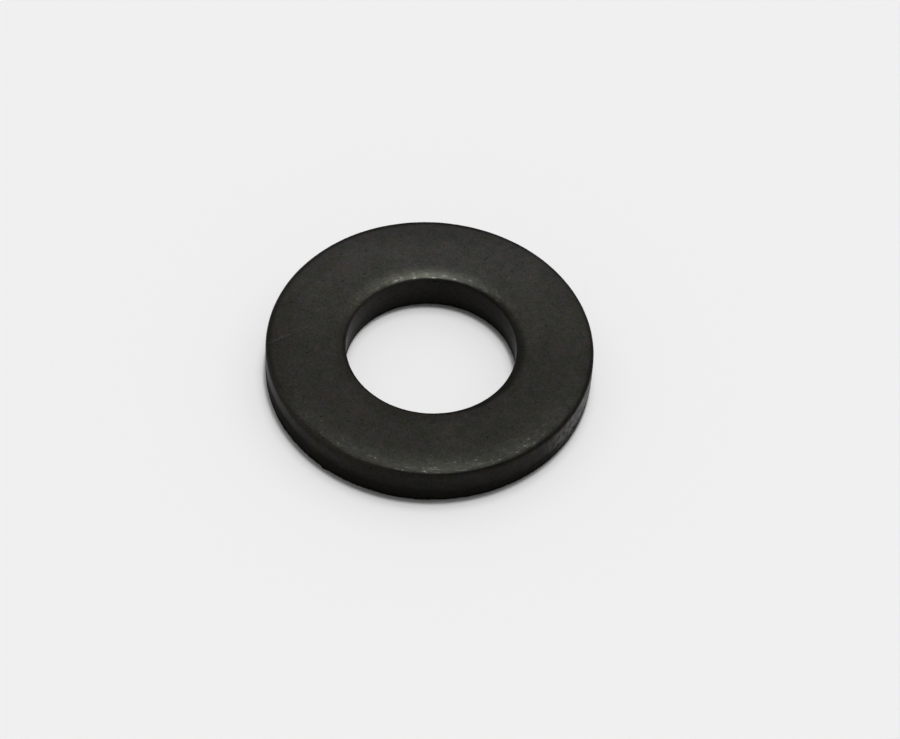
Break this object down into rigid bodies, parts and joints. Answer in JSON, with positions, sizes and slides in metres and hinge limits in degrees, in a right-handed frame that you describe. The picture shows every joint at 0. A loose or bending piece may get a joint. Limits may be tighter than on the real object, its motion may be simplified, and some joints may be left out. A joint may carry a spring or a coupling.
{
  "type": "flat washer",
  "caption": "Plain round flat washer stamped from steel sheet, black oxide finish, with a rolled edge on its head face and a broken edge on its seat face.",
  "frame": {"origin": "centre of the bore, on the plane of the seat face", "axes": "+Z is the axis of the bore, from the seat face to the head face; the washer is round, so X and Y are any two directions across it"},
  "size_m": [0.0126, 0.0126, 0.0016],
  "materials": {
    "black_oxide_steel": "satin black oxide"
  },
  "bodies": {
    "root": {"washer": "black_oxide_steel"}
  },
  "joints": []
}
